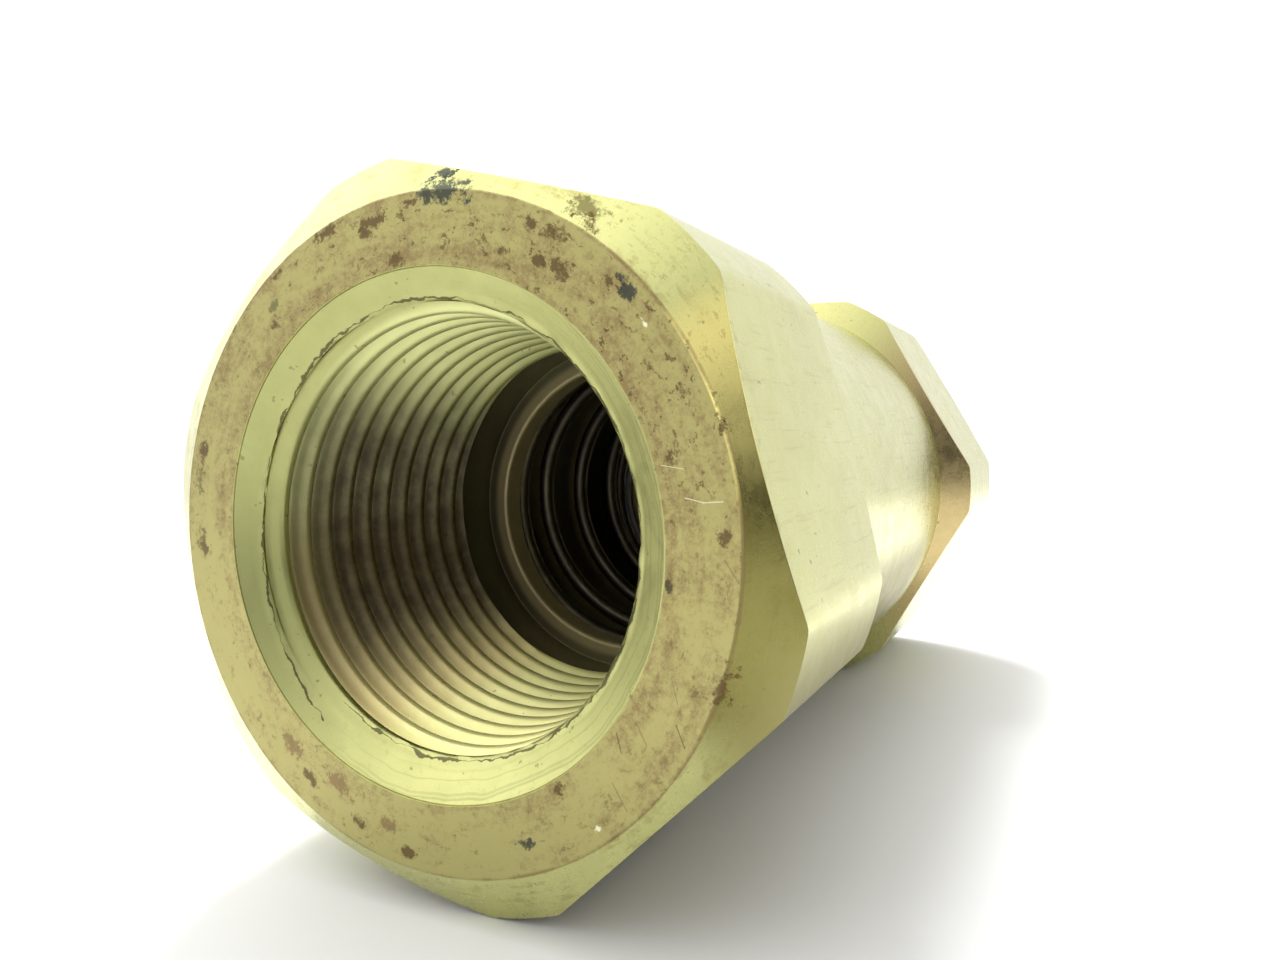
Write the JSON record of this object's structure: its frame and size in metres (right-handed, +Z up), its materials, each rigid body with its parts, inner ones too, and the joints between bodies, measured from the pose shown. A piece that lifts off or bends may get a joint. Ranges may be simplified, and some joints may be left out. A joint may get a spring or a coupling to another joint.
{
  "type": "in-line spring check valve",
  "caption": "In-line check valve with a round barrel between two wrench hexes, female taper threads at both ends and a sprung poppet inside.",
  "frame": {"origin": "on the flow axis, at the middle of the valve's overall length", "axes": "+X along the flow, out of the outlet port; the inlet hex has a flat facing -Z, on which the valve lies; +Z up"},
  "size_m": [0.079, 0.0434, 0.043],
  "materials": {
    "brass": "turned and milled, lightly tarnished",
    "poppet_brass": "turned, dulled by use",
    "spring_steel": "drawn stainless wire, ends ground",
    "stainless": "plain stainless",
    "seal_rubber": "moulded nitrile"
  },
  "bodies": {
    "valve": {"body": "brass", "inlet_cap": "brass", "body_seal_ring": "seal_rubber", "spring": "spring_steel"},
    "poppet": {"poppet": "poppet_brass", "seat_disc": "seal_rubber", "disc_retainer": "stainless", "lock_washer": "stainless", "retaining_screw": "stainless", "spring_washer": "stainless"}
  },
  "joints": [
    {"name": "poppet_lift", "type": "slide", "parent": "valve", "child": "poppet", "axis": [1, 0, 0], "range_m": [0, 0.0059], "stiffness_N_per_m": 660, "springref_m": -0.0045, "deforming": ["spring"]}
  ]
}
